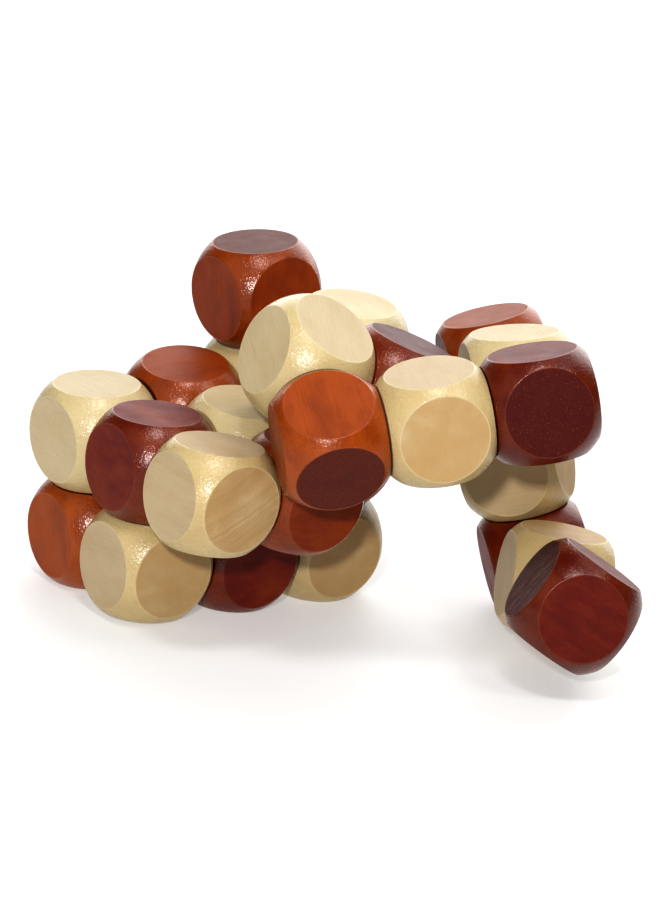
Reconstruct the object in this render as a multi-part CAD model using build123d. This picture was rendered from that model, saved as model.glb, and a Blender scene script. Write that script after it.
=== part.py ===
from build123d import *
import os

os.makedirs("parts", exist_ok=True)

# Sizes in millimetres.
BLOCK = 20.0             # each block, across two opposite flats
BALL_DIA = 26.4          # ball that every cube is rounded down to
RIM_EASE = 0.4           # softened edge round each flat
JOINT_GAP = 0.3          # running gap between the flats of two linked blocks
HOLE_DIA = 4.0           # drilled way for the cord
CORD_DIA = 1.5           # elastic cord
CORD_CORNER_GAP = 0.01   # cord bearing on the inner corner of a bent hole
POCKET_DIA = 6.0         # blind hole in an end block, for the knot and its bush
POCKET_DEPTH = 14.0
BUSH_LENGTH = 5.0        # drilled wooden bush glued into the mouth of the pocket
BUSH_HOLE_DIA = 2.0
KNOT_DIA = 4.4
CORD_TAIL = 1.2          # cut end of the cord past its knot

# The chain. Corner blocks turn the cord through a right angle; the rest pass it straight on.
COUNT = 27
STRAIGHT = (2, 4, 6, 8, 13, 15, 19, 22, 26)
GROUNDED = 16            # block that lies flat on the table

# Whole degrees that each block is turned on the one before it, blocks 2 to 27.
FOLDS = (
    -25, -113, 68, -66, 81, 185, -9, -27, 35, 154, -107, -98, 180,
    92, 2, -94, 2, 86, -4, 6, 176, 83, -90, -8, 180, 2,
)

HALF = BLOCK / 2
PITCH = BLOCK + JOINT_GAP
FAR = PITCH / 2
HOLE_R = HOLE_DIA / 2
CORD_R = CORD_DIA / 2
# Bend that brings the cord against the inner corner of two holes meeting at a right angle.
BEND = (HOLE_R * 2**0.5 - CORD_R - CORD_CORNER_GAP) / (2**0.5 - 1)


def along_x(radius, start, end):
    """A round rod on the X axis from start to end."""
    return Location(((start + end) / 2, 0, 0)) * Rot(Y=90) * Cylinder(radius, end - start)


def rounded_cube():
    """A cube rounded down to a ball, leaving a round flat on each side."""
    body = Box(BLOCK, BLOCK, BLOCK) & Sphere(BALL_DIA / 2)
    rims = body.edges().filter_by(GeomType.CIRCLE)
    return fillet(rims, RIM_EASE)


def kind_of(number):
    if number in (1, COUNT):
        return "end"
    if number in STRAIGHT:
        return "straight"
    return "corner"


def make_block(kind):
    """The cord comes in along +X; it leaves along +X, or along +Y from a corner block."""
    body = rounded_cube()
    if kind == "straight":
        return body - along_x(HOLE_R, -BLOCK, BLOCK)
    if kind == "end":
        return body - along_x(POCKET_DIA / 2, HALF - POCKET_DEPTH, BLOCK)
    way_in = along_x(HOLE_R, -BLOCK, 0)
    way_out = Rot(Z=-90) * way_in
    return body - (way_in + Sphere(HOLE_R) + way_out)


def make_cord(kind):
    """The length of cord that one block carries, cut at the middle of each joint gap."""
    if kind == "straight":
        return along_x(CORD_R, -FAR, FAR)
    if kind == "end":
        return along_x(CORD_R, HALF - BUSH_LENGTH - KNOT_DIA - CORD_TAIL, FAR)
    run_in = Line((-FAR, 0), (-BEND, 0))
    bend = RadiusArc((-BEND, 0), (0, BEND), -BEND)
    run_out = Line((0, BEND), (0, FAR))
    path = Wire([run_in.edge(), bend.edge(), run_out.edge()])
    return sweep(Plane(origin=(-FAR, 0, 0), z_dir=(1, 0, 0)) * Circle(CORD_R), path=path)


def make_bush():
    return along_x(POCKET_DIA / 2, HALF - BUSH_LENGTH, HALF) - along_x(BUSH_HOLE_DIA / 2, 0, BLOCK)


def make_knot():
    """A tight knot bearing on the inner end of the bush, with the cord through its middle."""
    middle = HALF - BUSH_LENGTH - KNOT_DIA / 2
    return Location((middle, 0, 0)) * (Sphere(KNOT_DIA / 2) - along_x(CORD_R, -KNOT_DIA, KNOT_DIA))


def chain():
    """Where each block sits, walking along the cord and then set down on the grounded block."""
    onward = {"straight": Location((PITCH, 0, 0)), "corner": Location((0, PITCH, 0), (0, 0, 90))}
    onward["end"] = onward["straight"]
    places = [Location()]
    for number, fold in enumerate(FOLDS, start=1):
        places.append(places[-1] * onward[kind_of(number)] * Rot(X=fold))
    table = Location(Plane(origin=(0, 0, HALF), x_dir=(-1, 0, 0), z_dir=(0, 0, -1)))
    to_table = table * places[GROUNDED - 1].inverse()
    return [to_table * place for place in places]


blocks = {kind: make_block(kind) for kind in ("end", "straight", "corner")}
cords = {kind: make_cord(kind) for kind in ("end", "straight", "corner")}
bush = make_bush()
knot = make_knot()

for number, place in enumerate(chain(), start=1):
    kind = kind_of(number)
    # The last block is the first one turned end for end on the cord.
    seat = place * Rot(Z=180) if number == COUNT else place
    pieces = {"block": blocks[kind], "cord": cords[kind]}
    if kind == "end":
        pieces["bush"] = bush
        pieces["knot"] = knot
    for name, solid in pieces.items():
        export_step(seat * solid, f"parts/{name}_{number:02d}.step")
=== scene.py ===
"""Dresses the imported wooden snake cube: stained and varnished blocks on their elastic cord."""

import math

import bpy
from bpy.props import FloatProperty, FloatVectorProperty, IntProperty, PointerProperty
from mathutils import Matrix, Vector


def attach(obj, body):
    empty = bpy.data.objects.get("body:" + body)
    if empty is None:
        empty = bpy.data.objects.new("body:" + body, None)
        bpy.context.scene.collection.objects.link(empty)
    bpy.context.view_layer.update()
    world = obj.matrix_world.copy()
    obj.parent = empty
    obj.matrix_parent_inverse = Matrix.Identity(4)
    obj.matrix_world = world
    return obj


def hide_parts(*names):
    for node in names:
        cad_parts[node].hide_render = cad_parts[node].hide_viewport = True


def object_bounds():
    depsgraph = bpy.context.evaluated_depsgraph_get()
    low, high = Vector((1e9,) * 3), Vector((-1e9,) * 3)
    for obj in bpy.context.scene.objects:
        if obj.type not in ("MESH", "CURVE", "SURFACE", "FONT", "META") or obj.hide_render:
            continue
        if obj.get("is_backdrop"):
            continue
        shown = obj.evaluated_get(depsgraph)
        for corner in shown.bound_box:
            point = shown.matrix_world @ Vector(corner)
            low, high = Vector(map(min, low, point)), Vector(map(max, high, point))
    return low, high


bl_info = {
    "name": "Wooden Snake Cube",
    "version": (1, 0, 0),
    "blender": (4, 5, 0),
    "location": "3D View > Sidebar > Snake Cube",
    "description": "Rounded wooden blocks on an elastic cord, in stained and clear varnished wood",
    "category": "Object",
}

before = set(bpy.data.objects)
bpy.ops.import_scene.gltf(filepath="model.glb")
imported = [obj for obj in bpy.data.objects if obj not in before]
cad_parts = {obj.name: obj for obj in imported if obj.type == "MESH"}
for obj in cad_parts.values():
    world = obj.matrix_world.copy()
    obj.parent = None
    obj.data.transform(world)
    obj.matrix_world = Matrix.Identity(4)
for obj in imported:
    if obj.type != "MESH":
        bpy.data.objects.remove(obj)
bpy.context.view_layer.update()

MM = 0.001

# The chain, as in the part's source: which blocks pass the cord straight on, which one lies flat
# on the table, and the whole degrees that each block is turned on the one before it.
COUNT = 27
STRAIGHT = (2, 4, 6, 8, 13, 15, 19, 22, 26)
GROUNDED = 16
FOLDS = (
    -25, -113, 68, -66, 81, 185, -9, -27, 35, 154, -107, -98, 180,
    92, 2, -94, 2, 86, -4, 6, 176, 83, -90, -8, 180, 2,
)

# How each block was sawn: the axis that the fibres follow (0 X, 1 Y, 2 Z of the block), the turn of
# its year rings in degrees, how far its wood is from its kind's usual tone (-1 pale, +1 deep), and
# how plainly its year rings show (0 to 1).
SAWN = {
    1: (1, 20, 0.5, 1.0), 2: (2, 70, 0.2, 0.3), 3: (0, 10, 0.0, 0.4),
    4: (1, 40, 0.6, 0.5), 5: (2, 80, -0.4, 0.3), 6: (0, 30, -0.4, 0.2),
    7: (0, 60, 0.5, 0.2), 8: (1, 15, 0.0, 0.15), 9: (1, 50, -0.7, 0.2),
    10: (0, 25, -0.3, 0.15), 11: (2, 65, 0.0, 0.3), 12: (0, 35, -0.7, 0.15),
    13: (1, 75, 0.0, 0.3), 14: (2, 5, 0.35, 0.3), 15: (0, 45, 0.1, 0.3),
    16: (1, 85, 0.1, 0.15), 17: (1, 55, -0.75, 0.3), 18: (1, 12, -0.35, 0.15),
    19: (0, 33, 0.05, 0.3), 20: (0, 30, 0.05, 1.0), 21: (0, 22, -0.35, 0.3),
    22: (1, 68, -0.35, 0.15), 23: (2, 38, -0.5, 0.3), 24: (0, 58, 0.0, 0.3),
    25: (1, 8, 0.0, 0.3), 26: (2, 28, 0.0, 0.3), 27: (0, 72, -0.4, 0.3),
}


# ---------------------------------------------------------------- sizes, colours and studio


class SnakeSizes(bpy.types.PropertyGroup):
    """Sizes of the blocks and of what is drilled into them."""

    across: FloatProperty(
        name="Across Flats", description="Each block, from one flat to the opposite one",
        default=20 * MM, min=1 * MM, subtype="DISTANCE", unit="LENGTH")
    ball: FloatProperty(
        name="Ball", description="Diameter of the ball that each cube is rounded down to",
        default=26.4 * MM, min=1 * MM, subtype="DISTANCE", unit="LENGTH")
    rim: FloatProperty(
        name="Rim Ease", description="Radius that softens the edge round each flat",
        default=0.4 * MM, min=0.01 * MM, subtype="DISTANCE", unit="LENGTH")
    joint_gap: FloatProperty(
        name="Joint Gap", description="Running gap between two linked blocks",
        default=0.3 * MM, min=0.0, subtype="DISTANCE", unit="LENGTH")
    hole: FloatProperty(
        name="Hole", description="Diameter of the way drilled for the cord",
        default=4 * MM, min=0.1 * MM, subtype="DISTANCE", unit="LENGTH")
    pocket: FloatProperty(
        name="Pocket", description="Diameter of the blind hole in each end block",
        default=6 * MM, min=0.1 * MM, subtype="DISTANCE", unit="LENGTH")
    pocket_depth: FloatProperty(
        name="Pocket Depth", description="Depth of the blind hole in each end block",
        default=14 * MM, min=0.1 * MM, subtype="DISTANCE", unit="LENGTH")
    rings: IntProperty(
        name="Mesh Rings", description="Rings of faces from the middle of a side out to its edge",
        default=18, min=9, max=40)


class SnakeWoods(bpy.types.PropertyGroup):
    """Colours of the two woods."""

    pale: FloatVectorProperty(
        name="Pale Wood", description="Clear varnished wood on the rounded parts",
        default=(0.48, 0.377, 0.197), size=3, min=0, max=1, subtype="COLOR")
    pale_flat: FloatVectorProperty(
        name="Pale Flats", description="Sanded side grain, greyer than the rounded parts",
        default=(0.455, 0.362, 0.232), size=3, min=0, max=1, subtype="COLOR")
    pale_late: FloatVectorProperty(
        name="Pale Wood, Late Growth", description="Darker lines of the year rings and fibres",
        default=(0.33, 0.215, 0.09), size=3, min=0, max=1, subtype="COLOR")
    pale_end: FloatVectorProperty(
        name="Pale Wood, End Grain", description="Where clear varnish soaks into cut fibre ends",
        default=(0.41, 0.260, 0.108), size=3, min=0, max=1, subtype="COLOR")
    pale_best: FloatVectorProperty(
        name="Palest Wood", description="The whitest of the pale blocks",
        default=(0.58, 0.51, 0.325), size=3, min=0, max=1, subtype="COLOR")
    stain: FloatVectorProperty(
        name="Stain", description="Red-brown stain on the rounded parts",
        default=(0.125, 0.0155, 0.003), size=3, min=0, max=1, subtype="COLOR")
    stain_flat: FloatVectorProperty(
        name="Stain On Flats", description="Stain on the sanded flats",
        default=(0.130, 0.008, 0.002), size=3, min=0, max=1, subtype="COLOR")
    stain_end: FloatVectorProperty(
        name="Stain In End Grain", description="Purple-brown where cut fibre ends drink the stain",
        default=(0.060, 0.0038, 0.0018), size=3, min=0, max=1, subtype="COLOR")
    stain_light: FloatVectorProperty(
        name="Thin Stain", description="Orange-brown where the stain is thin",
        default=(0.37, 0.084, 0.006), size=3, min=0, max=1, subtype="COLOR")


class SnakeStudio(bpy.types.PropertyGroup):
    """Camera, lights and floor."""

    camera_turn: FloatProperty(
        name="Camera Turn", description="How far round the camera stands, from looking along +Y",
        default=math.radians(-36.191), subtype="ANGLE", unit="ROTATION")
    camera_pitch: FloatProperty(
        name="Camera Pitch", description="How far the camera looks down",
        default=math.radians(17.410), subtype="ANGLE", unit="ROTATION")
    camera_roll: FloatProperty(
        name="Camera Roll", description="How far the camera is tipped about its own axis",
        default=math.radians(6.214), subtype="ANGLE", unit="ROTATION")
    camera_place: FloatVectorProperty(
        name="Camera Place", description="Where the camera stands",
        default=(-0.42354, -0.63552, 0.27537), size=3, subtype="TRANSLATION", unit="LENGTH")
    focal_length: FloatProperty(
        name="Focal Length", description="Focal length in millimetres on a 36 mm wide sensor",
        default=225.1, min=10)
    floor_shade: FloatVectorProperty(
        name="Floor", description="Colour of the seamless floor",
        default=(0.44, 0.44, 0.44), size=3, min=0, max=1, subtype="COLOR")
    floor_glow: FloatProperty(
        name="Floor Glow", description="The floor's own light, which keeps its shadows pale",
        default=0.30, min=0)
    room: FloatProperty(
        name="Room", description="Brightness of the dim room all round",
        default=0.07, min=0)
    key: FloatProperty(
        name="Key", description="Brightness of the lamp high over the camera",
        default=17.0, min=0)
    second: FloatProperty(
        name="Second", description="Brightness of the lamp on the camera's right",
        default=8.0, min=0)
    flash: FloatProperty(
        name="Flash", description="Brightness of the small lamp just above the camera",
        default=620.0, min=0)
    over: FloatProperty(
        name="Over", description="Brightness of the broad light above and behind",
        default=0.9, min=0)
    side: FloatProperty(
        name="Side", description="Brightness of the weak fill on the left",
        default=0.5, min=0)
    backdrop: FloatProperty(
        name="Backdrop", description="Brightness of the pale backdrop",
        default=1.8, min=0)


# ---------------------------------------------------------------- small helpers

# A right angle.
RIGHT = math.pi / 2

# The Mix node repeats its socket names for every kind of value. These are the places of its share,
# its two colours and the colour that comes out.
MIX_SHARE, MIX_FIRST, MIX_SECOND, MIX_RESULT = 0, 6, 7, 2


def link_in(tree, value, socket):
    """Sets a socket to a plain value, or joins another socket to it."""
    if isinstance(value, bpy.types.NodeSocket):
        tree.links.new(value, socket)
    else:
        socket.default_value = value


def new_node(tree, kind, inputs=None, **fields):
    """Adds a node, sets its own fields, and fills its inputs with plain values or other sockets."""
    node = tree.nodes.new(kind)
    for field, value in fields.items():
        setattr(node, field, value)
    for name, value in (inputs or {}).items():
        link_in(tree, value, node.inputs[name])
    return node


def math_node(tree, operation, *values):
    """One Math node; its values are numbers or sockets."""
    node = new_node(tree, "ShaderNodeMath", dict(enumerate(values)), operation=operation)
    return node.outputs[0]


def ramp_node(tree, value, low, high, to_low=0.0, to_high=1.0, smooth=False):
    """One clamped Map Range node, which turns low into to_low and high into to_high."""
    node = new_node(
        tree, "ShaderNodeMapRange",
        {"Value": value, "From Min": low, "From Max": high, "To Min": to_low, "To Max": to_high},
        clamp=True, interpolation_type="SMOOTHSTEP" if smooth else "LINEAR")
    return node.outputs["Result"]


def mix_colour(tree, share, first, second):
    """One colour Mix node; its colours are plain ones or sockets."""
    node = new_node(tree, "ShaderNodeMix", data_type="RGBA", clamp_factor=True)
    link_in(tree, share, node.inputs[MIX_SHARE])
    for colour, at in ((first, MIX_FIRST), (second, MIX_SECOND)):
        if not isinstance(colour, bpy.types.NodeSocket):
            colour = (*colour, 1.0)
        link_in(tree, colour, node.inputs[at])
    return node.outputs[MIX_RESULT]


def layered(tree, base, layers):
    """A base colour with others laid over it in turn, each by its own share."""
    for share, colour in layers:
        base = mix_colour(tree, share, base, colour)
    return base


def darker(colour, share):
    """A plain colour brought down to a share of its brightness."""
    return [channel * share for channel in colour]


def stretched(tree, vector, scale):
    """A vector scaled by a fixed amount along each axis."""
    node = new_node(tree, "ShaderNodeVectorMath", {0: vector, 1: scale}, operation="MULTIPLY")
    return node.outputs[0]


def noise(tree, vector, scale, detail, roughness=0.55, distortion=0.0):
    """One Noise Texture node on a vector."""
    node = new_node(tree, "ShaderNodeTexNoise", {
        "Vector": vector, "Scale": scale, "Detail": detail, "Roughness": roughness,
        "Distortion": distortion,
    })
    return node.outputs["Fac"]


def noise_along(tree, value, detail):
    """One Noise Texture node along a single number, with about one swell to each whole step."""
    node = new_node(tree, "ShaderNodeTexNoise", {"W": value, "Scale": 1.0, "Detail": detail},
                    noise_dimensions="1D")
    return node.outputs["Fac"]


def lay_out(tree, columns=12, width=260, height=240):
    """Spreads the nodes out in rows, so that the tree can be read."""
    for at, node in enumerate(tree.nodes):
        node.location = (width * (at % columns), -height * (at // columns))


# ---------------------------------------------------------------- the block, as a rule

# How far out the flat ends, and then the rim's small arc: 0 in the middle of a side, 1 at its edge.
# With the usual 18 rings, each zone ends on a ring.
FLAT_END, ARC_END = 8 / 18, 11 / 18
# The band along each rim that gets a painted highlight: its middle and its reach, on the same
# scale.
RIM_HIGHLIGHT_MIDDLE, RIM_HIGHLIGHT_REACH = 9.5 / 18, 2.2 / 18
# The mask of the flat fades from just inside the flat's end to some way past it.
FADE_START, FADE_END = FLAT_END - 0.02, FLAT_END + 0.08
# Above 1, the rings on the ball lie closer together near the rim.
RING_CROWDING = 1.35

# Turns that carry the side that faces +Z to each of the six sides.
SIDE_TURNS = (
    (0, 0, 0), (RIGHT, 0, 0), (2 * RIGHT, 0, 0), (3 * RIGHT, 0, 0), (0, RIGHT, 0), (0, -RIGHT, 0),
)
# Turns that carry fibres along the block's X, Y or Z to Z.
FIBRE_TURNS = ((0, -RIGHT, 0), (RIGHT, 0, 0), (0, 0, 0))

# How far a drill goes past the block's middle, as a share of the block, to come out at the flat.
DRILL_REACH = 0.75
DRILL_SIDES = 48
# The ball that rounds off the corner where two drilled ways meet.
TIP_SIDES, TIP_RINGS = 32, 16
# Points of neighbouring sides that lie this near each other become one.
SEAM = 0.02 * MM
# An edge that turns by more than this is shaded as a crease.
SHARP_EDGE = math.radians(40)

# Where the blocks lie in their log: off the pith, and one after another along the trunk.
PITH_AWAY = 45 * MM
LOG_STEP = 61 * MM

# A block with fewer faces than this was not built properly.
LEAST_FACES = 500


def store(tree, shape, name, value, kind="FLOAT"):
    """Keeps a value on every point of a shape, as a named attribute."""
    node = new_node(
        tree, "GeometryNodeStoreNamedAttribute", {"Geometry": shape, "Name": name, "Value": value},
        data_type=kind, domain="POINT")
    return node.outputs["Geometry"]


def side_of_block(tree, across, ball, ease, rings):
    """One sixth of the block: its flat, the eased rim and its share of the ball, up to the corners.

    A square grid is bent so that its rings follow the rim. Three zones follow each other outwards:
    the flat, the rim's small arc, and the ball out to the planes that the next sides start from.
    """
    half = math_node(tree, "MULTIPLY", across, 0.5)
    big = math_node(tree, "MULTIPLY", ball, 0.5)
    # Middle of the rim's arc: one ease in from the flat, and one ease in from the ball.
    arc_z = math_node(tree, "SUBTRACT", half, ease)
    reach = math_node(tree, "SUBTRACT", big, ease)
    arc_r = math_node(tree, "SQRT", math_node(
        tree, "SUBTRACT", math_node(tree, "POWER", reach, 2.0),
        math_node(tree, "POWER", arc_z, 2.0)))
    rise = math_node(tree, "ARCTAN2", arc_z, arc_r)

    count = math_node(tree, "MULTIPLY_ADD", rings, 2.0, 1.0)
    grid = new_node(tree, "GeometryNodeMeshGrid", {
        "Size X": 2.0, "Size Y": 2.0, "Vertices X": count, "Vertices Y": count})
    place = new_node(tree, "GeometryNodeInputPosition")
    split = new_node(tree, "ShaderNodeSeparateXYZ", {0: place.outputs[0]})
    s, t = split.outputs["X"], split.outputs["Y"]
    ring = math_node(
        tree, "MAXIMUM", math_node(tree, "ABSOLUTE", s), math_node(tree, "ABSOLUTE", t))
    turn = math_node(tree, "ARCTAN2", t, s)
    cos_t = math_node(tree, "COSINE", turn)
    sin_t = math_node(tree, "SINE", turn)

    on_flat = ramp_node(tree, ring, 0.0, FLAT_END)
    on_arc = ramp_node(tree, ring, FLAT_END, ARC_END)
    on_ball = ramp_node(tree, ring, ARC_END, 1.0)

    flat_r = math_node(tree, "MULTIPLY", arc_r, math_node(
        tree, "SINE", math_node(tree, "MULTIPLY", on_flat, RIGHT)))
    lean = math_node(tree, "MULTIPLY_ADD", on_arc, math_node(tree, "SUBTRACT", rise, RIGHT), RIGHT)
    rim_r = math_node(tree, "MULTIPLY_ADD", math_node(tree, "COSINE", lean), ease, flat_r)
    rim_z = math_node(tree, "MULTIPLY_ADD", math_node(tree, "SINE", lean), ease, arc_z)

    # Out on the ball, from the rim's angle to the angle of the plane between two sides.
    start = math_node(tree, "SUBTRACT", RIGHT, rise)
    widest = math_node(
        tree, "MAXIMUM", math_node(tree, "ABSOLUTE", cos_t), math_node(tree, "ABSOLUTE", sin_t))
    stop = math_node(tree, "ARCTANGENT", math_node(tree, "DIVIDE", 1.0, widest))
    share = math_node(tree, "POWER", on_ball, RING_CROWDING)
    polar = math_node(tree, "MULTIPLY_ADD", share, math_node(tree, "SUBTRACT", stop, start), start)
    ball_r = math_node(tree, "MULTIPLY", big, math_node(tree, "SINE", polar))
    ball_z = math_node(tree, "MULTIPLY", big, math_node(tree, "COSINE", polar))

    # A hair is added, so that the ring that both zones share counts as the rim's.
    beyond = math_node(tree, "GREATER_THAN", ring, ARC_END + 1e-4)

    def pick(inner, outer):
        """The inner value as far as the rim goes, and the outer one beyond it."""
        more = math_node(tree, "SUBTRACT", outer, inner)
        return math_node(tree, "MULTIPLY_ADD", beyond, more, inner)

    radius, height = pick(rim_r, ball_r), pick(rim_z, ball_z)
    bent = new_node(tree, "ShaderNodeCombineXYZ", {
        "X": math_node(tree, "MULTIPLY", radius, cos_t),
        "Y": math_node(tree, "MULTIPLY", radius, sin_t),
        "Z": height,
    })

    # Masks that the finish reads: 1 on a flat, and 1 along its rim, where the woods paint a pale
    # highlight.
    flat_mask = ramp_node(tree, ring, FADE_START, FADE_END, 1.0, 0.0)
    off_rim = math_node(tree, "ABSOLUTE", math_node(tree, "SUBTRACT", ring, RIM_HIGHLIGHT_MIDDLE))
    rim_highlight_mask = math_node(tree, "SUBTRACT", 1.0, ramp_node(tree, off_rim, 0.0, RIM_HIGHLIGHT_REACH))
    shape = store(tree, grid.outputs["Mesh"], "flat_mask", flat_mask)
    shape = store(tree, shape, "rim_highlight_mask", rim_highlight_mask)
    move = new_node(tree, "GeometryNodeSetPosition", {
        "Geometry": shape, "Position": bent.outputs[0]})
    return move.outputs["Geometry"]


def drill(tree, radius, start, end, axis):
    """A drill bit from start to end along X or Y."""
    depth = math_node(tree, "SUBTRACT", end, start)
    middle = math_node(tree, "MULTIPLY", math_node(tree, "ADD", start, end), 0.5)
    bit = new_node(tree, "GeometryNodeMeshCylinder", {
        "Vertices": DRILL_SIDES, "Radius": radius, "Depth": depth})
    at = new_node(tree, "ShaderNodeCombineXYZ", {axis: middle})
    lay = new_node(tree, "GeometryNodeTransform", {
        "Geometry": bit.outputs["Mesh"], "Translation": at.outputs[0],
        "Rotation": (0, RIGHT, 0) if axis == "X" else (RIGHT, 0, 0),
    })
    return lay.outputs["Geometry"]


def turned_block_tree():
    """Geometry Nodes tree for one block: six bent sides, drilled, placed and given its wood."""
    tree = bpy.data.node_groups.new("Turned block", "GeometryNodeTree")
    tree.is_modifier = True
    sockets = tree.interface
    sockets.new_socket("Geometry", in_out="OUTPUT", socket_type="NodeSocketGeometry")
    for name, kind, note in (
        ("Across Flats", "Float", "Block size from flat to flat"),
        ("Ball", "Float", "Diameter of the rounding ball"),
        ("Rim Ease", "Float", "Radius round each flat"),
        ("Rings", "Int", "Rings of faces on each side"),
        ("Bore Radius", "Float", "Radius of the drilled way"),
        ("Bore Start", "Float", "Where the bore along X starts"),
        ("Bore End", "Float", "Where the bore along X ends"),
        ("Turned Bore", "Bool", "A second bore leaves along +Y"),
        ("Place", "Vector", "Middle of the block"),
        ("Turn", "Vector", "How the block is turned, as XYZ angles"),
        ("Fibre Turn", "Vector", "Turns the block's fibres to Z"),
        ("Log Place", "Vector", "Where in the log the block was sawn from"),
        ("Tone", "Float", "Paler or deeper than usual"),
        ("Figure", "Float", "How plainly the year rings show"),
        ("Wood", "Material", "The wood and its finish"),
    ):
        socket = sockets.new_socket(name, in_out="INPUT", socket_type="NodeSocket" + kind)
        socket.description = note
    given = tree.nodes.new("NodeGroupInput").outputs

    side = side_of_block(
        tree, given["Across Flats"], given["Ball"], given["Rim Ease"], given["Rings"])
    whole = new_node(tree, "GeometryNodeJoinGeometry")
    for turn in SIDE_TURNS:
        put = new_node(tree, "GeometryNodeTransform", {"Geometry": side, "Rotation": turn})
        tree.links.new(put.outputs["Geometry"], whole.inputs[0])
    seam = new_node(tree, "GeometryNodeMergeByDistance", {
        "Geometry": whole.outputs[0], "Distance": SEAM})

    far = math_node(tree, "MULTIPLY", given["Across Flats"], DRILL_REACH)
    first = drill(tree, given["Bore Radius"], given["Bore Start"], given["Bore End"], "X")
    second = drill(tree, given["Bore Radius"], 0.0, far, "Y")
    tip = new_node(tree, "GeometryNodeMeshUVSphere", {
        "Segments": TIP_SIDES, "Rings": TIP_RINGS, "Radius": given["Bore Radius"]})
    cut = new_node(
        tree, "GeometryNodeMeshBoolean", {"Mesh 1": seam.outputs[0], "Mesh 2": first},
        operation="DIFFERENCE", solver="MANIFOLD")
    for bit in (second, tip.outputs["Mesh"]):
        maybe = new_node(tree, "GeometryNodeSwitch", {"Switch": given["Turned Bore"], "True": bit})
        tree.links.new(maybe.outputs[0], cut.inputs["Mesh 2"])

    smooth = new_node(
        tree, "GeometryNodeSetShadeSmooth", {"Geometry": cut.outputs["Mesh"]}, domain="FACE")
    angle = new_node(tree, "GeometryNodeInputMeshEdgeAngle")
    sharp = math_node(tree, "GREATER_THAN", angle.outputs["Unsigned Angle"], SHARP_EDGE)
    crease = new_node(tree, "GeometryNodeSetShadeSmooth", {
        "Geometry": smooth.outputs[0], "Selection": sharp, "Shade Smooth": False}, domain="EDGE")

    def along_log(vector):
        """Turns a vector of the block so that its fibres lie along Z."""
        node = new_node(
            tree, "ShaderNodeVectorRotate", {"Vector": vector, "Rotation": given["Fibre Turn"]},
            rotation_type="EULER_XYZ")
        return node.outputs[0]

    # Where each point is in the log, with the fibres along Z.
    place = new_node(tree, "GeometryNodeInputPosition")
    shift = new_node(tree, "ShaderNodeVectorMath", {
        0: along_log(place.outputs[0]), 1: given["Log Place"]}, operation="ADD")
    told = store(tree, crease.outputs[0], "log_place", shift.outputs[0], "FLOAT_VECTOR")
    # How squarely each flat cuts the fibres: 1 on end grain.
    normal = new_node(tree, "GeometryNodeInputNormal")
    parts = new_node(tree, "ShaderNodeSeparateXYZ", {0: along_log(normal.outputs[0])})
    squareness = math_node(tree, "ABSOLUTE", parts.outputs["Z"])
    told = store(tree, told, "end_grain", ramp_node(tree, squareness, 0.75, 0.98))
    told = store(tree, told, "tone", given["Tone"])
    told = store(tree, told, "figure", given["Figure"])

    turn = new_node(tree, "FunctionNodeEulerToRotation", {0: given["Turn"]})
    stand = new_node(tree, "GeometryNodeTransform", {
        "Geometry": told, "Translation": given["Place"], "Rotation": turn.outputs[0]})
    real = new_node(tree, "GeometryNodeRealizeInstances", {0: stand.outputs[0]})
    wood = new_node(tree, "GeometryNodeSetMaterial", {
        "Geometry": real.outputs[0], "Material": given["Wood"]})
    new_node(tree, "NodeGroupOutput", {0: wood.outputs[0]})
    lay_out(tree)
    return tree


def chain_places(sizes):
    """The place of each block, walking along the cord and then set down on the grounded block."""
    pitch = sizes.across + sizes.joint_gap
    straight_on = Matrix.Translation((pitch, 0, 0))
    round_the_corner = Matrix.Translation((0, pitch, 0)) @ Matrix.Rotation(RIGHT, 4, "Z")
    places = [Matrix.Identity(4)]
    for number, fold in enumerate(FOLDS, start=1):
        onward = straight_on if number in STRAIGHT or number == 1 else round_the_corner
        places.append(places[-1] @ onward @ Matrix.Rotation(math.radians(fold), 4, "X"))
    table = Matrix.Translation((0, 0, sizes.across / 2)) @ Matrix.Rotation(math.pi, 4, "Y")
    home = table @ places[GROUNDED - 1].inverted()
    places = [home @ place for place in places]
    # The last block is the first one turned end for end on the cord.
    places[-1] = places[-1] @ Matrix.Rotation(math.pi, 4, "Z")
    return places


def block_inputs(number, place, sizes, wood):
    """What the block tree is told about one block."""
    end = number in (1, COUNT)
    corner = not end and number not in STRAIGHT
    fibres, ring_turn, tone, figured = SAWN[number]
    ring_turn = math.radians(ring_turn)
    far = DRILL_REACH * sizes.across
    return {
        "Across Flats": sizes.across, "Ball": sizes.ball, "Rim Ease": sizes.rim,
        "Rings": sizes.rings,
        "Bore Radius": (sizes.pocket if end else sizes.hole) / 2,
        "Bore Start": sizes.across / 2 - sizes.pocket_depth if end else -far,
        "Bore End": 0.0 if corner else far,
        "Turned Bore": corner,
        "Place": place.to_translation(), "Turn": Vector(place.to_euler("XYZ")),
        "Fibre Turn": Vector(FIBRE_TURNS[fibres]),
        "Log Place": Vector((
            PITH_AWAY * math.cos(ring_turn), PITH_AWAY * math.sin(ring_turn), LOG_STEP * number)),
        "Tone": tone, "Figure": figured, "Wood": wood,
    }


def built_mesh(tree, values):
    """Runs a Geometry Nodes tree once with the given inputs. The result is a plain mesh."""
    name_of = {item.name: item.identifier for item in tree.interface.items_tree
               if item.item_type == "SOCKET" and item.in_out == "INPUT"}
    blank = bpy.data.meshes.new("block_maker")
    maker = bpy.data.objects.new("block_maker", blank)
    bpy.context.scene.collection.objects.link(maker)
    modifier = maker.modifiers.new(tree.name, "NODES")
    modifier.node_group = tree
    for name, value in values.items():
        modifier[name_of[name]] = value
    maker.update_tag()
    graph = bpy.context.evaluated_depsgraph_get()
    mesh = bpy.data.meshes.new_from_object(
        maker.evaluated_get(graph), preserve_all_data_layers=True, depsgraph=graph)
    bpy.data.objects.remove(maker)
    bpy.data.meshes.remove(blank)
    return mesh


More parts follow.
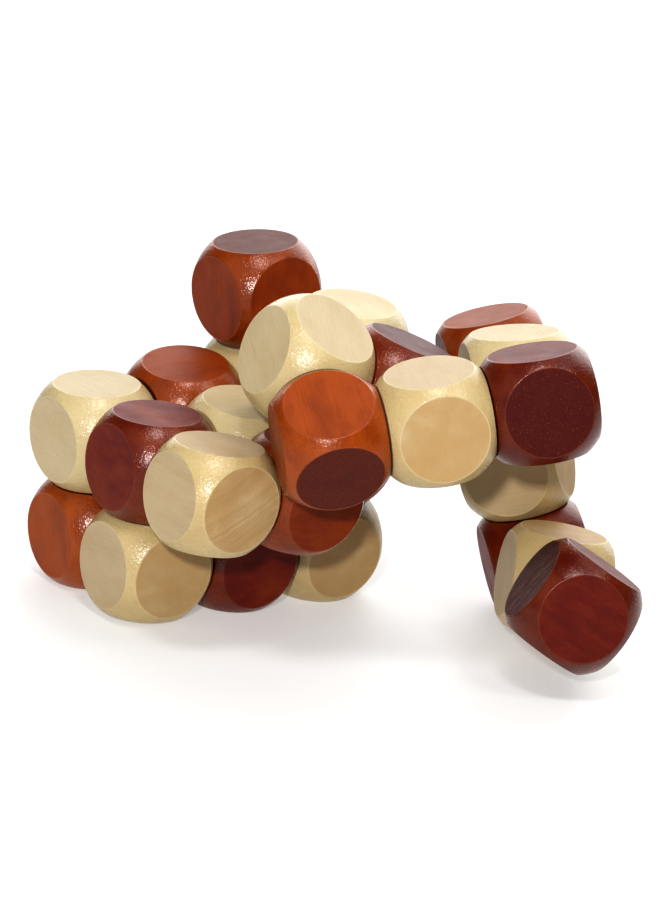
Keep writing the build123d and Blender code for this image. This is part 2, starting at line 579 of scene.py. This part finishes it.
def make_blocks(numbers, wood):
    """Builds the blocks of one wood, each as a plain mesh that stands for its CAD node."""
    sizes = bpy.context.scene.snake_sizes
    tree = bpy.data.node_groups.get("Turned block") or turned_block_tree()
    places = chain_places(sizes)
    for number in numbers:
        mesh = built_mesh(tree, block_inputs(number, places[number - 1], sizes, wood))
        if len(mesh.polygons) < LEAST_FACES:
            raise RuntimeError(f"block {number} came out with {len(mesh.polygons)} faces")
        if [material for material in mesh.materials if material is not None] != [wood]:
            raise RuntimeError(f"block {number} came out with the wrong materials")
        mesh.materials.clear()
        mesh.materials.append(wood)
        mesh.polygons.foreach_set("material_index", [0] * len(mesh.polygons))
        mesh.name = f"wood_{number:02d}"
        piece = bpy.data.objects.new(f"wood_{number:02d}", mesh)
        bpy.context.scene.collection.objects.link(piece)
        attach(piece, f"link_{number:02d}")
        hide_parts(f"block_{number:02d}")


# ---------------------------------------------------------------- shared groups of nodes


def new_group(name, outputs, inputs):
    """An empty shader group with its sockets; inputs are rows of name, kind and usual value."""
    tree = bpy.data.node_groups.new(name, "ShaderNodeTree")
    for output in outputs:
        tree.interface.new_socket(output, in_out="OUTPUT", socket_type="NodeSocketFloat")
    for title, kind, usual in inputs:
        socket = tree.interface.new_socket(title, in_out="INPUT", socket_type="NodeSocket" + kind)
        if usual is not None:
            socket.default_value = usual
    return tree


def close_group(tree, outputs):
    """Joins what a group has worked out to its outputs."""
    new_node(tree, "NodeGroupOutput", outputs)
    lay_out(tree)
    return tree


def wood_figure_group():
    """Figure of sawn wood on a log's own coordinates, with the fibres along Z.

    Rings and belts are year rings and runs of darker years, and the other outputs are the fibres,
    the pores and soft clouds of colour.
    """
    tree = bpy.data.node_groups.get("Wood figure")
    if tree:
        return tree
    tree = new_group("Wood figure", ("Rings", "Belts", "Fibres", "Pores", "Clouds"), (
        ("Log Place", "Vector", None), ("Rings Per Metre", "Float", 1500.0),
        ("Ring Wander", "Float", 5.0),
    ))
    given = tree.nodes.new("NodeGroupInput").outputs
    log = given["Log Place"]

    # Year rings: distance from the pith, bent a little along the trunk, and strong in some years.
    split = new_node(tree, "ShaderNodeSeparateXYZ", {0: log})
    pith = math_node(tree, "SQRT", math_node(
        tree, "ADD", math_node(tree, "POWER", split.outputs["X"], 2.0),
        math_node(tree, "POWER", split.outputs["Y"], 2.0)))
    sway = noise(tree, stretched(tree, log, (1.0, 1.0, 0.25)), 90.0, detail=2.0)
    phase = math_node(tree, "MULTIPLY_ADD", pith, given["Rings Per Metre"],
                      math_node(tree, "MULTIPLY", sway, given["Ring Wander"]))
    year = math_node(tree, "FRACT", phase)
    late = ramp_node(tree, year, 0.15, 0.60, smooth=True)
    fade = ramp_node(tree, year, 0.65, 1.0, 1.0, 0.0)
    years = noise_along(tree, math_node(tree, "MULTIPLY", phase, 0.45), detail=1.0)
    strong = ramp_node(tree, years, 0.35, 0.65, 0.15, 1.0)
    rings = math_node(tree, "MULTIPLY", math_node(tree, "MULTIPLY", late, fade), strong)

    # Belts: runs of years in which the whole wood is darker.
    spells = noise_along(tree, math_node(tree, "MULTIPLY", phase, 0.11), detail=2.0)
    belts = ramp_node(tree, spells, 0.50, 0.66, smooth=True)

    # Fibres, pores and clouds are all drawn out along the trunk, each by its own amount.
    fibres = noise(tree, stretched(tree, log, (1.0, 1.0, 0.04)), 3200.0, detail=4.0, roughness=0.7)
    fleck = noise(tree, stretched(tree, log, (1.0, 1.0, 0.12)), 3600.0, detail=1.0)
    pores = ramp_node(tree, fleck, 0.64, 0.74, smooth=True)
    clouds = noise(tree, stretched(tree, log, (1.0, 1.0, 0.5)), 170.0, detail=4.0)
    return close_group(
        tree, {"Rings": rings, "Belts": belts, "Fibres": fibres, "Pores": pores, "Clouds": clouds})


def lacquer_skin_group():
    """Brushed lacquer: crumpled on the rounded parts, flatter and duller on the flats.

    Height feeds a Bump node, Roughness the shader, and Gloss is 1 where the lacquer lies thick.
    """
    tree = bpy.data.node_groups.get("Lacquer skin")
    if tree:
        return tree
    tree = new_group("Lacquer skin", ("Height", "Roughness", "Gloss"), (
        ("Log Place", "Vector", None), ("Flat", "Float", 0.0), ("Gloss Roughness", "Float", 0.2),
        ("Flat Roughness", "Float", 0.35), ("Fibres", "Float", 0.5),
    ))
    given = tree.nodes.new("NodeGroupInput").outputs
    log, flat = given["Log Place"], given["Flat"]
    wide = noise(tree, log, 240.0, detail=1.0)
    peel = noise(tree, log, 1800.0, detail=1.5, roughness=0.5, distortion=0.5)
    dust = noise(tree, log, 3600.0, detail=2.0)

    # The height adds up the crumple, the fibres that show through, and broad uneven brushing.
    rounded = math_node(tree, "SUBTRACT", 1.0, math_node(tree, "MULTIPLY", flat, 0.75))
    crumple = math_node(
        tree, "MULTIPLY", rounded, math_node(tree, "MULTIPLY_ADD", dust, 0.22, peel))
    height = math_node(tree, "MULTIPLY_ADD", given["Fibres"], 0.10, crumple)
    height = math_node(tree, "MULTIPLY_ADD", wide, 0.8, height)

    # The roughness goes from the gloss of the rounded parts to the flats', and varies round that.
    duller = math_node(tree, "SUBTRACT", given["Flat Roughness"], given["Gloss Roughness"])
    rough = math_node(tree, "MULTIPLY_ADD", flat, duller, given["Gloss Roughness"])
    for texture, share in ((dust, 0.20), (wide, 0.15)):
        rough = math_node(
            tree, "MULTIPLY_ADD", math_node(tree, "SUBTRACT", texture, 0.5), share, rough)
    rough = ramp_node(tree, rough, 0.05, 0.9, 0.05, 0.9)
    gloss = math_node(tree, "SUBTRACT", 1.0, flat)
    return close_group(tree, {"Height": height, "Roughness": rough, "Gloss": gloss})


# ---------------------------------------------------------------- finishes


def attribute(tree, name, output="Fac"):
    """Reads an attribute that the block tree has stored."""
    return new_node(tree, "ShaderNodeAttribute", attribute_name=name).outputs[output]


def new_material(name, shown):
    """A material without nodes as yet, and the plain colour that the viewport shows."""
    material = bpy.data.materials.new(name)
    material.use_nodes = True
    material.node_tree.nodes.clear()
    material.diffuse_color = (*shown, 1.0)
    return material


def principled(tree, colour, roughness):
    """The material's own Principled shader, joined to its output."""
    shader = new_node(tree, "ShaderNodeBsdfPrincipled", {
        "Base Color": colour, "Roughness": roughness})
    new_node(tree, "ShaderNodeOutputMaterial", {"Surface": shader.outputs[0]})
    return shader


def raise_surface(tree, shader, height, depth, strength=1.0):
    """Gives a shader relief through one Bump node."""
    bump = new_node(tree, "ShaderNodeBump", {
        "Strength": strength, "Distance": depth, "Height": height})
    tree.links.new(bump.outputs[0], shader.inputs["Normal"])


def finish_wood(material, colour, skin, specular, depth, coat, coat_roughness, shimmer):
    """Joins the colour and the lacquer skin to the material's own Principled shader."""
    tree = material.node_tree
    shader = principled(tree, colour, skin.outputs["Roughness"])
    raise_surface(tree, shader, skin.outputs["Height"], depth)
    shader.inputs["Specular IOR Level"].default_value = specular
    shader.inputs["Coat Roughness"].default_value = coat_roughness
    for name, share in (("Coat Weight", coat), ("Metallic", shimmer)):
        amount = math_node(tree, "MULTIPLY", skin.outputs["Gloss"], share)
        tree.links.new(amount, shader.inputs[name])
    lay_out(tree)


def figure_and_skin(
        tree, rings_per_metre, ring_wander, ring_relief, gloss_roughness, flat_roughness):
    """Places both shared groups in a material and joins them to the block's attributes."""
    log = attribute(tree, "log_place", "Vector")
    figure = new_node(tree, "ShaderNodeGroup", node_tree=wood_figure_group())
    for name, value in (
        ("Log Place", log), ("Rings Per Metre", rings_per_metre), ("Ring Wander", ring_wander),
    ):
        link_in(tree, value, figure.inputs[name])
    # On end grain the year rings stand in relief, most of all where they show plainly.
    plain = math_node(tree, "POWER", attribute(tree, "figure"), 3.0)
    rough_end = math_node(tree, "MULTIPLY", plain, attribute(tree, "end_grain"))
    relief = math_node(
        tree, "MULTIPLY_ADD", math_node(tree, "MULTIPLY", rough_end, figure.outputs["Rings"]),
        -ring_relief, figure.outputs["Fibres"])
    skin = new_node(tree, "ShaderNodeGroup", node_tree=lacquer_skin_group())
    for name, value in (
        ("Log Place", log), ("Flat", attribute(tree, "flat_mask")), ("Fibres", relief),
        ("Gloss Roughness", gloss_roughness), ("Flat Roughness", flat_roughness),
    ):
        link_in(tree, value, skin.inputs[name])
    return figure.outputs, skin


def pale_wood_material(woods):
    """Pale close-grained wood under clear varnish, tan where the fibre ends soak it up."""
    material = new_material("Pale wood, clear varnish", woods.pale)
    tree = material.node_tree
    figure, skin = figure_and_skin(
        tree, rings_per_metre=1650.0, ring_wander=5.0, ring_relief=3.0,
        gloss_roughness=0.24, flat_roughness=0.50)
    flat, tone = attribute(tree, "flat_mask"), attribute(tree, "tone")
    cut_end = math_node(tree, "MULTIPLY", flat, attribute(tree, "end_grain"))
    soaked = math_node(
        tree, "MULTIPLY", cut_end, ramp_node(tree, figure["Clouds"], 0.3, 0.7, 0.62, 0.88))
    # Rings and belts show on a block as plainly as its figure says, and most on end grain.
    seen = math_node(tree, "MULTIPLY", attribute(tree, "figure"),
                     math_node(tree, "MULTIPLY_ADD", cut_end, 0.38, 0.10))
    colour = layered(tree, mix_colour(tree, flat, woods.pale, woods.pale_flat), (
        # The whitest blocks, and fibre ends full of varnish.
        (ramp_node(tree, tone, 0.0, -1.0), woods.pale_best),
        (soaked, woods.pale_end),
        # Soft clouds, some deeper and some whiter.
        (ramp_node(tree, figure["Clouds"], 0.45, 0.75, to_high=0.25), woods.pale_late),
        (ramp_node(tree, figure["Clouds"], 0.45, 0.25, to_high=0.18), woods.pale_best),
        # Year rings, belts, fibres and pores.
        (math_node(tree, "MULTIPLY", figure["Rings"], seen), darker(woods.pale_late, 0.85)),
        (math_node(tree, "MULTIPLY", figure["Belts"], seen), woods.pale_late),
        (ramp_node(tree, figure["Fibres"], 0.42, 0.72, to_high=0.22), woods.pale_late),
        (math_node(tree, "MULTIPLY", figure["Pores"], 0.16), darker(woods.pale_late, 0.55)),
        # The deeper blocks, and a painted highlight along the rims.
        (ramp_node(tree, tone, 0.0, 1.0, to_high=0.6), woods.pale_late),
        (math_node(tree, "MULTIPLY", attribute(tree, "rim_highlight_mask"), 0.30), woods.pale_best),
    ))
    finish_wood(material, colour, skin, specular=0.34, depth=0.11 * MM,
                coat=0.22, coat_roughness=0.36, shimmer=0.0)
    return material


def stained_wood_material(woods):
    """Red-brown stain under gloss lacquer: thin and orange in places, purple-brown in end grain."""
    material = new_material("Red-brown stained wood, lacquered", woods.stain)
    tree = material.node_tree
    figure, skin = figure_and_skin(
        tree, rings_per_metre=1300.0, ring_wander=5.0, ring_relief=9.0,
        gloss_roughness=0.22, flat_roughness=0.48)
    flat, tone = attribute(tree, "flat_mask"), attribute(tree, "tone")
    cut_end = math_node(tree, "MULTIPLY", flat, attribute(tree, "end_grain"))
    # Rings show on a block as plainly as its figure says, and pores always; both most on end grain.
    seen = math_node(tree, "MULTIPLY", attribute(tree, "figure"),
                     math_node(tree, "MULTIPLY_ADD", cut_end, 0.75, 0.12))
    speckled = math_node(tree, "MULTIPLY", figure["Pores"],
                         math_node(tree, "MULTIPLY_ADD", cut_end, 0.32, 0.10))
    colour = layered(tree, mix_colour(tree, flat, woods.stain, woods.stain_flat), (
        # The lightest blocks, then places where the stain lies thin or thick.
        (ramp_node(tree, tone, 0.0, -1.0, to_high=0.95), woods.stain_light),
        (ramp_node(tree, figure["Clouds"], 0.45, 0.72, to_high=0.24), woods.stain_light),
        (ramp_node(tree, figure["Clouds"], 0.5, 0.28, to_high=0.36), woods.stain_end),
        # Fibre ends that drink the stain, and the deepest blocks.
        (math_node(tree, "MULTIPLY", cut_end, 0.85), woods.stain_end),
        (ramp_node(tree, tone, 0.0, 1.0, to_high=0.6), woods.stain_end),
        # Year rings, fibres and pores.
        (math_node(tree, "MULTIPLY", figure["Rings"], seen), darker(woods.stain_end, 0.2)),
        (ramp_node(tree, figure["Fibres"], 0.42, 0.72, to_high=0.22), woods.stain_end),
        (speckled, woods.stain_light),
        # A painted highlight along the rims.
        (math_node(tree, "MULTIPLY", attribute(tree, "rim_highlight_mask"), 0.10), woods.stain_light),
    ))
    finish_wood(material, colour, skin, specular=0.27, depth=0.10 * MM,
                coat=0.30, coat_roughness=0.31, shimmer=0.04)
    return material


def cord_material():
    """White covered elastic with a fine braid across it."""
    material = new_material("Covered elastic", (0.82, 0.8, 0.76))
    tree = material.node_tree
    place = new_node(tree, "ShaderNodeTexCoord").outputs["Object"]
    braid = noise(tree, place, 4200.0, detail=2.0)
    colour = mix_colour(tree, braid, (0.86, 0.84, 0.80), (0.66, 0.63, 0.58))
    shader = principled(tree, colour, 0.8)
    raise_surface(tree, shader, braid, 0.1 * MM, strength=0.6)
    lay_out(tree)
    return material


def bush_material():
    """Bare turned wood, with fibres along the bush."""
    material = new_material("Bare turned wood", (0.62, 0.44, 0.26))
    tree = material.node_tree
    place = new_node(tree, "ShaderNodeTexCoord").outputs["Object"]
    grain = noise(tree, stretched(tree, place, (1.0, 1.0, 0.2)), 1800.0, detail=4.0)
    principled(tree, mix_colour(tree, grain, (0.68, 0.50, 0.30), (0.48, 0.31, 0.17)), 0.7)
    lay_out(tree)
    return material


def dress_nodes(prefix, material):
    """Gives the CAD nodes whose names start with prefix a better material in their own slots."""
    for name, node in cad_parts.items():
        if name.startswith(prefix):
            for slot in node.material_slots:
                slot.material = material


# ---------------------------------------------------------------- studio


def make_floor(scene, studio, height):
    """A wide sheet of paper under the toy, for the pictures only."""
    mesh = bpy.data.meshes.new("floor")
    reach = 3.0
    corners = ((-reach, -reach), (reach, -reach), (reach, reach), (-reach, reach))
    mesh.from_pydata([(x, y, height) for x, y in corners], [], [(0, 1, 2, 3)])
    floor = bpy.data.objects.new("floor", mesh)
    scene.collection.objects.link(floor)
    floor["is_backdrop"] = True
    paper = new_material("Floor paper", studio.floor_shade)
    shader = principled(paper.node_tree, (*studio.floor_shade, 1.0), 0.6)
    shader.inputs["Emission Color"].default_value = (1.0, 0.975, 0.955, 1.0)
    shader.inputs["Emission Strength"].default_value = studio.floor_glow
    mesh.materials.append(paper)


def make_room(scene, studio):
    """A dim white room all round, and the contrast of the picture."""
    world = bpy.data.worlds.new("room")
    world.use_nodes = True
    sky = world.node_tree.nodes["Background"]
    sky.inputs["Color"].default_value = (1.0, 1.0, 1.0, 1.0)
    sky.inputs["Strength"].default_value = studio.room
    scene.world = world
    scene.view_settings.view_transform = "Standard"
    scene.view_settings.look = "High Contrast"


def panel_light(name, middle, azimuth, elevation, distance, size, brightness):
    """A soft panel that faces the object; azimuth is turned from +Y towards +X, in degrees."""
    round_by, up_by = math.radians(azimuth), math.radians(elevation)
    level = math.cos(up_by)
    towards = Vector((math.sin(round_by) * level, math.cos(round_by) * level, math.sin(up_by)))
    lamp = bpy.data.lights.new(name, "AREA")
    lamp.shape, lamp.size, lamp.size_y = "RECTANGLE", *size
    lamp.energy = brightness * math.pi * size[0] * size[1]
    panel = bpy.data.objects.new(name, lamp)
    panel.location = middle + towards * distance
    panel.rotation_euler = towards.to_track_quat("Z", "Y").to_euler()
    bpy.context.scene.collection.objects.link(panel)


def make_camera(scene, studio):
    """The camera, placed and turned as the studio says."""
    lens = bpy.data.cameras.new("camera")
    lens.sensor_fit, lens.sensor_width, lens.lens = "HORIZONTAL", 36.0, studio.focal_length
    lens.clip_start, lens.clip_end = 0.01, 20.0
    camera = bpy.data.objects.new("camera", lens)
    aim = (Matrix.Rotation(studio.camera_turn, 4, "Z")
           @ Matrix.Rotation(-studio.camera_pitch, 4, "X")
           @ Matrix.Rotation(-studio.camera_roll, 4, "Y")
           @ Matrix.Rotation(RIGHT, 4, "X"))
    camera.matrix_world = Matrix.Translation(studio.camera_place) @ aim
    scene.collection.objects.link(camera)
    scene.camera = camera


# ---------------------------------------------------------------- operators and panel


class SNAKE_OT_pale_blocks(bpy.types.Operator):
    """Make the blocks of clear varnished pale wood"""

    bl_idname = "snake.pale_blocks"
    bl_label = "Pale Blocks"

    def execute(self, context):
        wood = pale_wood_material(context.scene.snake_woods)
        make_blocks(range(2, COUNT, 2), wood)
        return {"FINISHED"}


class SNAKE_OT_stained_blocks(bpy.types.Operator):
    """Make the blocks of red-brown stained wood"""

    bl_idname = "snake.stained_blocks"
    bl_label = "Stained Blocks"

    def execute(self, context):
        wood = stained_wood_material(context.scene.snake_woods)
        make_blocks(range(1, COUNT + 1, 2), wood)
        return {"FINISHED"}


class SNAKE_OT_cord(bpy.types.Operator):
    """Finish the elastic cord, its knots and the bushes that hold them"""

    bl_idname = "snake.cord"
    bl_label = "Cord, Knots And Bushes"

    def execute(self, context):
        elastic = cord_material()
        dress_nodes("cord_", elastic)
        dress_nodes("knot_", elastic)
        dress_nodes("bush_", bush_material())
        return {"FINISHED"}


class SNAKE_OT_studio(bpy.types.Operator):
    """Set up the floor, the lights and the camera"""

    bl_idname = "snake.studio"
    bl_label = "Studio"

    def execute(self, context):
        scene, studio = context.scene, context.scene.snake_studio
        low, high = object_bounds()
        middle = (low + high) / 2
        make_floor(scene, studio, low.z)
        make_room(scene, studio)
        # Azimuth and elevation in degrees, distance and size in metres.
        panel_light("key", middle, -142, 66, 0.70, (0.20, 0.14), studio.key)
        panel_light("second", middle, 155, 54, 0.75, (0.20, 0.20), studio.second)
        panel_light("flash", middle, -138, 23, 0.75, (0.04, 0.04), studio.flash)
        panel_light("over", middle, 65, 60, 0.80, (0.85, 0.85), studio.over)
        panel_light("side", middle, -92, 32, 0.80, (0.8, 0.7), studio.side)
        panel_light("backdrop", middle, 42, 24, 0.95, (1.5, 0.8), studio.backdrop)
        make_camera(scene, studio)
        return {"FINISHED"}


class SNAKE_PT_sidebar(bpy.types.Panel):
    """Sizes, woods and studio of the snake cube"""

    bl_idname = "SNAKE_PT_sidebar"
    bl_label = "Snake Cube"
    bl_space_type = "VIEW_3D"
    bl_region_type = "UI"
    bl_category = "Snake Cube"

    def draw(self, context):
        scene = context.scene
        for title, group in (
            ("Sizes", scene.snake_sizes), ("Woods", scene.snake_woods),
            ("Studio", scene.snake_studio),
        ):
            box = self.layout.box()
            box.label(text=title)
            for name in group.__annotations__:
                box.prop(group, name)
        for operator in OPERATORS:
            self.layout.operator(operator.bl_idname)


GROUPS = (SnakeSizes, SnakeWoods, SnakeStudio)
OPERATORS = (SNAKE_OT_pale_blocks, SNAKE_OT_stained_blocks, SNAKE_OT_cord, SNAKE_OT_studio)


def register():
    for thing in (*GROUPS, *OPERATORS, SNAKE_PT_sidebar):
        bpy.utils.register_class(thing)
    bpy.types.Scene.snake_sizes = PointerProperty(type=SnakeSizes)
    bpy.types.Scene.snake_woods = PointerProperty(type=SnakeWoods)
    bpy.types.Scene.snake_studio = PointerProperty(type=SnakeStudio)


def unregister():
    del bpy.types.Scene.snake_sizes, bpy.types.Scene.snake_woods, bpy.types.Scene.snake_studio
    for thing in (SNAKE_PT_sidebar, *reversed(OPERATORS), *reversed(GROUPS)):
        bpy.utils.unregister_class(thing)


def main():
    register()
    bpy.ops.snake.pale_blocks()
    bpy.ops.snake.stained_blocks()
    bpy.ops.snake.cord()
    bpy.ops.snake.studio()


if __name__ == "__main__":
    main()
